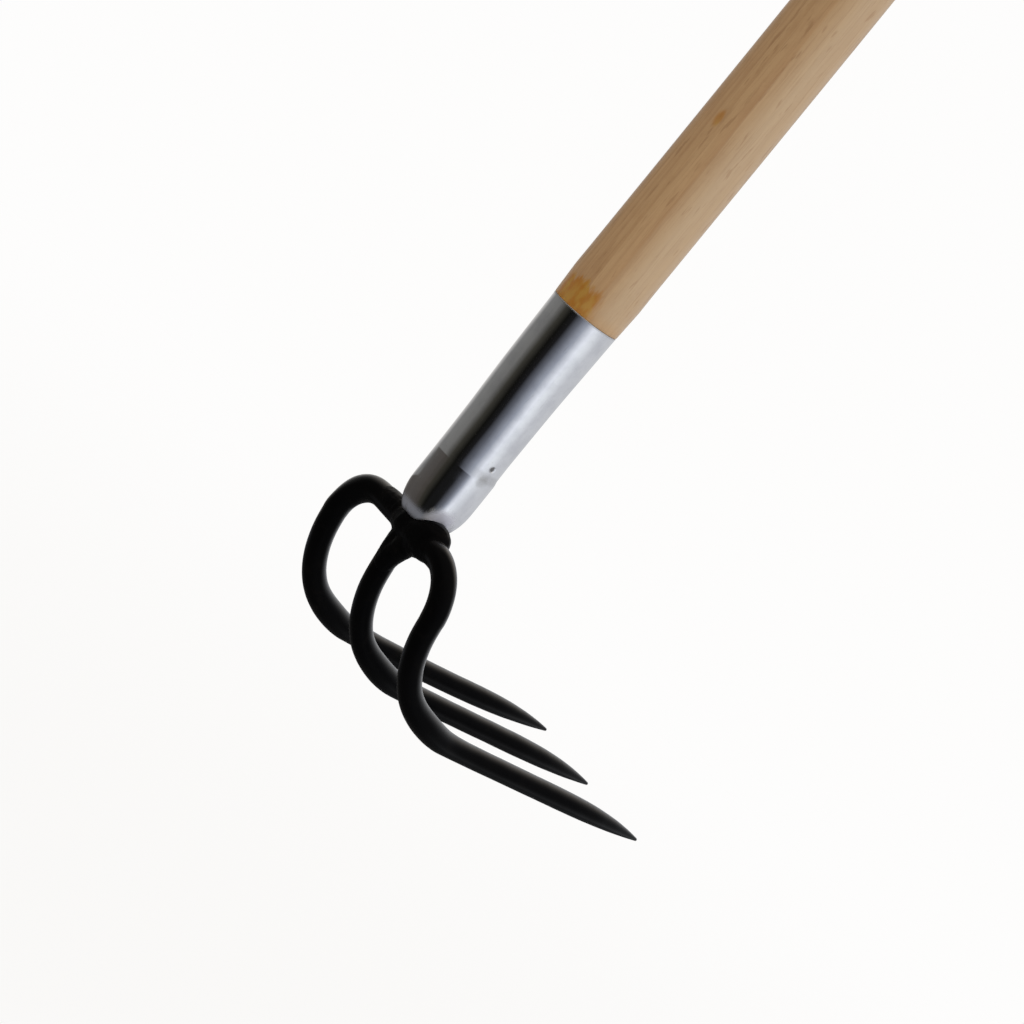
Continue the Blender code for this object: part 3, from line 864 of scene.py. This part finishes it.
# %% Tine sizes
tang_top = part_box("tine_centre")[1].z
shoulder_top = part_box("tine_right")[1].z
SIDE_BAR = 9.3 * MM
CENTRE_BAR = 8.5 * MM
HEEL_BAR = 8.4 * MM
HEEL_SWELL = 0.8 * MM  # the bar is thicker at the heel, as metal gathers inside a bend
HEEL_SWELL_BACK = 12.0 * MM
HEEL_SWELL_LENGTH = 14.0 * MM
PRONG_BAR = 8.2 * MM
SHOULDER_RADIUS = 17.6 * MM
SETBACK = 1.2 * MM  # of the bars' roots behind the handle's axis
SHANK_RADIUS = 96.0 * MM  # of the wide arc down the shank
SHANK_ANGLE = math.radians(13.0)
HEEL_RADIUS = 41.1 * MM
RISE = math.radians(2.2)  # of the prongs towards their points
TAPER = 57.0 * MM  # the prong thins to its point over this length
TAPER_POWER = 3.0
POINT_DROP = 1.5 * MM
PRONG_LENGTH = 112.0 * MM
LEFT_EXTRA_LENGTH = 2.8 * MM
LEFT_EXTRA_RISE = math.radians(0.5)
LEFT_SAG = 1.2 * MM  # the left prong's middle hangs a little, as bent by hand
LEFT_UPSET = 0.5 * MM  # the left shoulder was bent hotter and came out thicker
Z_SHOULDER = shoulder_top - SIDE_BAR / 2
SPREAD = 36.4 * MM  # from the middle tine to a side tine
NECK = Vector((0.0, -SETBACK, Z_SHOULDER))
SHANK_LENGTH = SHANK_RADIUS * SHANK_ANGLE
SHANK_FALL = SHANK_RADIUS * math.sin(SHANK_ANGLE)
HEEL_END = SHANK_LENGTH + HEEL_RADIUS * (math.pi / 2 + RISE - SHANK_ANGLE)
print("shoulder height and spread in mm:", round(Z_SHOULDER / MM, 2), round(SPREAD / MM, 2))

# %% Tine shapes
BAR_COLUMNS = 40
RING_STEP = 1.1 * MM
HAMMER_MARKS = 0.10 * MM
GAP = 0.3 * MM  # that the CAD leaves between solids
TIP_WIDTH = 1.0 * MM
TIP_ROUND = 0.5 * MM  # the point is rounded off over its last bit
TIP_RINGS = 6.0 * MM  # and the rings stand closer from here on
TIP_GAP = 0.4 * MM


def tine_point(distance, rise):
    """Forward and down from the shoulder line at a distance along the bar."""
    turned = min(distance, SHANK_LENGTH) / SHANK_RADIUS
    forward = SHANK_RADIUS * (1 - math.cos(turned))
    fall = SHANK_RADIUS * math.sin(turned)
    if distance > SHANK_LENGTH:
        turned = SHANK_ANGLE + (min(distance, HEEL_END) - SHANK_LENGTH) / HEEL_RADIUS
        forward += HEEL_RADIUS * (math.cos(SHANK_ANGLE) - math.cos(turned))
        fall += HEEL_RADIUS * (math.sin(turned) - math.sin(SHANK_ANGLE))
    beyond = max(distance - HEEL_END, 0.0)
    return forward + beyond * math.cos(rise), fall - beyond * math.sin(rise)


def fallen_to(fall):
    """How far along the bar it has fallen this far."""
    if fall <= SHANK_FALL:
        return SHANK_RADIUS * math.asin(fall / SHANK_RADIUS)
    return SHANK_LENGTH + HEEL_RADIUS * (
        math.asin((fall - SHANK_FALL) / HEEL_RADIUS + math.sin(SHANK_ANGLE)) - SHANK_ANGLE
    )


def lower_bar(x, start, root, length, rise, sag=0.0):
    """Centres and radii from a place on the shank down to the rounded point."""
    end = HEEL_END + length
    places = steps_of(start, end - TIP_RINGS, RING_STEP)
    places += steps_of(end - TIP_RINGS, end - TIP_ROUND, TIP_GAP)
    places += [end - TIP_ROUND, end - TIP_ROUND * 0.6, end - TIP_ROUND * 0.2, end]
    line = []
    for distance in places:
        forward, fall = tine_point(distance, rise)
        thinned = max(0.0, 1 - (end - distance) / TAPER) ** TAPER_POWER
        from_swell = (distance - HEEL_END + HEEL_SWELL_BACK) / HEEL_SWELL_LENGTH
        swell = HEEL_SWELL * math.exp(-(from_swell**2))
        inwards = math.sqrt(2) * swell
        diameter = root + (HEEL_BAR - root) * min(distance / HEEL_END, 1.0)
        diameter += (PRONG_BAR - HEEL_BAR) * max(0.0, min((distance - HEEL_END) / (length - TAPER), 1.0))
        diameter += (TIP_WIDTH - diameter) * thinned
        tip = min(1.0, (end - distance) / TIP_ROUND)
        radius = (diameter / 2 + swell) * math.sqrt(1 - (1 - tip) ** 2 * 0.98)  # never quite nothing
        along = max(0.0, (distance - HEEL_END) / length)
        fall += sag * math.sin(math.pi * min(1.0, along))
        line.append((Vector((x, forward + inwards, inwards - fall - POINT_DROP * thinned)), radius))
    return line


def side_line(length, rise, sag=0.0, upset=0.0):
    """A side tine: level out of the neck, round the shoulder, and on down."""
    bend_start = SPREAD - SHOULDER_RADIUS
    places = steps_of(CENTRE_BAR / 2 + GAP, bend_start, RING_STEP)
    line = [(Vector((x, 0.0, 0.0)), SIDE_BAR / 2) for x in places]
    for angle in steps_of(0.0, math.pi / 2, RING_STEP / SHOULDER_RADIUS):
        fall = SHOULDER_RADIUS * (1 - math.cos(angle))
        forward, _ = tine_point(fallen_to(fall), rise)
        thicker = upset * math.sin(min(2.4 * angle, math.pi)) ** 2
        sideways = bend_start + (SHOULDER_RADIUS + thicker) * math.sin(angle)
        line.append((Vector((sideways, forward, thicker * math.cos(angle) - fall)), SIDE_BAR / 2 + thicker))
    return line + lower_bar(SPREAD, fallen_to(SHOULDER_RADIUS), SIDE_BAR, length, rise, sag)


def barred(name, line, across, seed, squareness=None):
    """A bar of rings along a line of (centre, radius), eased in by the hammer's marks."""
    rings = []
    count = len(line)
    for i, (centre, radius) in enumerate(line):
        ahead = (line[min(i + 1, count - 1)][0] - line[max(i - 1, 0)][0]).normalized()
        across = (across - ahead * across.dot(ahead)).normalized()
        up = ahead.cross(across)
        square = squareness(centre) if squareness else 0.0
        ring = []
        for k in range(BAR_COLUMNS):
            a = 2 * math.pi * k / BAR_COLUMNS
            way = math.cos(a) * across + math.sin(a) * up
            to_square = 1 / max(abs(math.cos(a)), abs(math.sin(a)))
            mark = 0.5 + 0.5 * noise.noise((centre + way * radius) * 130 + Vector((seed, 0, 0)))
            hammered = HAMMER_MARKS * mark * min(1, radius / (3 * MM))
            reach = radius * (1 - square + square * to_square) - hammered
            ring.append(NECK + centre + way * reach)
        rings.append(ring)
    bm = bmesh.new()
    skin(bm, rings)
    return add_mesh(name, bm, enamel)


def mirrored(line):
    return [(Vector((-p.x, p.y, p.z)), radius) for p, radius in line]


# %% The three tines
TANG_TOP = tang_top - Z_SHOULDER
TANG_WIDTH = 7.2 * MM
TANG_END_WIDTH = 4.2 * MM
ROUND_UP_TO = SIDE_BAR / 2 + GAP
SQUARE_FROM = ROUND_UP_TO + 8.0 * MM


def tang_line():
    """The square tang above the neck, from its end down to the shoulder line."""
    line = []
    for height in steps_of(TANG_TOP, SQUARE_FROM, 4.0 * MM):
        share = (height - SQUARE_FROM) / (TANG_TOP - SQUARE_FROM)
        width = TANG_WIDTH + (TANG_END_WIDTH - TANG_WIDTH) * share
        line.append((Vector((0.0, SETBACK, height)), width / 2))
    for height in steps_of(SQUARE_FROM, 0.0, 0.8 * MM):
        share = max(0.0, (height - ROUND_UP_TO) / (SQUARE_FROM - ROUND_UP_TO))
        centre = Vector((0.0, SETBACK * height / SQUARE_FROM, height))
        line.append((centre, (CENTRE_BAR + (TANG_WIDTH - CENTRE_BAR) * share) / 2))
    return line


def tang_squareness(centre):
    return min(1.0, max(0.0, (centre.z - ROUND_UP_TO) / (SQUARE_FROM - ROUND_UP_TO)))


middle = barred("middle_tine", tang_line() + lower_bar(0.0, 0.0, CENTRE_BAR, PRONG_LENGTH, RISE),
                Vector((1.0, 0.0, 0.0)), 3.0, tang_squareness)
right_tine = barred("right_tine", side_line(PRONG_LENGTH, RISE), Vector((0.0, 1.0, 0.0)), 11.0)
left_line = side_line(PRONG_LENGTH + LEFT_EXTRA_LENGTH, RISE + LEFT_EXTRA_RISE, LEFT_SAG, LEFT_UPSET)
left_tine = barred("left_tine", mirrored(left_line), Vector((0.0, 1.0, 0.0)), 27.0)
for tine, node in ((middle, "tine_centre"), (right_tine, "tine_right"), (left_tine, "tine_left")):
    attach(tine, BODY)
    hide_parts(node)
    print(node, "faces:", len(tine.data.polygons))

# %% [markdown]
# ## The weld at the neck
#
# Molten metal was laid over the three roots until they were one lump, so no edge is left between
# bar and bead: every corner is filled. Such a shape is hard to draw face by face and easy to grow.
# Rough solids for the lump and for the roots of the bars are put together, remeshed as one skin and
# relaxed, which fills the corners as the metal did. The ripples of the bead are moved in last.

# %% Weld shape
WELD_BASE = SIDE_BAR / 2 + 1.55 * MM  # the lump's radius between its lobes
WELD_LOBES = (  # aim, reach and how narrow the lobe is
    ((1.0, 0.0, 0.0), 8.9 * MM, 4),
    ((-1.0, 0.0, 0.0), 4.0 * MM, 4),
    ((0.90, 0.37, 0.23), 4.7 * MM, 6),
    ((0.80, -0.05, 0.50), 3.0 * MM, 12),
    ((0.60, 0.0, -0.80), 3.0 * MM, 8),
)
WELD_VOXEL = 0.4 * MM
WELD_RELAX = 16  # rounds of smoothing
WELD_RIPPLE = 0.22 * MM


def lump():
    bm = bmesh.new()
    bmesh.ops.create_icosphere(bm, subdivisions=5, radius=1.0)
    for vert in bm.verts:
        outwards = vert.co.normalized()
        reach = WELD_BASE
        for aim, extra, focus in WELD_LOBES:
            reach += extra * max(outwards.dot(Vector(aim).normalized()), 0.0) ** focus
        vert.co = NECK + outwards * reach
    return bm


def root(bm, line):
    """A tapering root through (x, y, z, radius) places in mm from the neck's middle."""
    points = [(Vector(place[:3]) * MM, place[3] * MM) for place in line]
    way = (points[-1][0] - points[0][0]).normalized()
    across = way.orthogonal().normalized()
    up = way.cross(across)
    turns = [2 * math.pi * i / BAR_COLUMNS for i in range(BAR_COLUMNS)]
    skin(bm, [[NECK + p + r * (math.cos(t) * across + math.sin(t) * up) for t in turns] for p, r in points])


WELD_ROOTS = (
    ((0, 0, -1.0, 5.3), (6, 0, -1.3, 5.3), (11, 0, -1.5, 5.0), (15, 0, -1.1, 4.7), (19, 0, -0.5, 4.2)),
    (
        (4, 0.5, -0.4, 5.2), (10, 0.5, 0.1, 5.2), (14, 0.4, 0.7, 5.0),
        (18, 0.2, -0.4, 4.8), (22, 0.1, -0.9, 4.2), (26, 0.2, -1.9, 3.2),
    ),
    ((0, 0, 0, 4.9), (-6, 0, 0.3, 4.9), (-11, 0, 0.7, 4.8), (-16, 0, 0.7, 4.6), (-20, 0, 0.4, 4.2)),
    ((0, 0, 0, 4.5), (0, 0.3, -9, 4.4), (0, 0.7, -13, 4.2), (0, 1.0, -17, 3.6)),
    (
        (4.5, 0, -3.0, 4.7), (4.0, 0, -7.2, 4.5), (2.0, 0.2, -10.4, 4.4),
        (1.0, 0.5, -13.2, 4.2), (0.4, 0.9, -18, 3.6),
    ),
)


def make_weld():
    bm = lump()
    for line in WELD_ROOTS:
        root(bm, line)
    weld = add_mesh("neck_weld_bead", bm, enamel_finish("enamel_over_weld", 700.0, 0.22))
    remesh = weld.modifiers.new("one_skin", "REMESH")
    remesh.mode = "VOXEL"
    remesh.voxel_size = WELD_VOXEL
    relax = weld.modifiers.new("relaxed", "SMOOTH")
    relax.factor = 0.5
    relax.iterations = WELD_RELAX
    shape = bpy.data.meshes.new_from_object(weld.evaluated_get(bpy.context.evaluated_depsgraph_get()))
    weld.modifiers.clear()
    weld.data = shape
    for vert in shape.vertices:
        grain = noise.noise(vert.co * 420) * 0.6 + noise.noise(vert.co * 1100) * 0.4
        vert.co += vert.normal * WELD_RIPPLE * grain
    shape.shade_smooth()
    return weld


weld = make_weld()
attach(weld, BODY)
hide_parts("neck_weld")
print("weld faces:", len(weld.data.polygons))

# %% [markdown]
# ## Close
#
# The scene is shown with the plain view transform, so a colour renders as it is written. Last, the
# box of the dressed tool is set beside the box of the CAD model, which it may not outgrow.

# %% Finish
bpy.context.scene.view_settings.view_transform = "Standard"
visual_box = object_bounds()
for name, cad, visual in zip(("lowest", "highest"), cad_box, visual_box):
    print(name, "corner in mm, CAD:", [round(v / MM, 2) for v in cad])
    print(name, "corner in mm, visual:", [round(v / MM, 2) for v in visual])
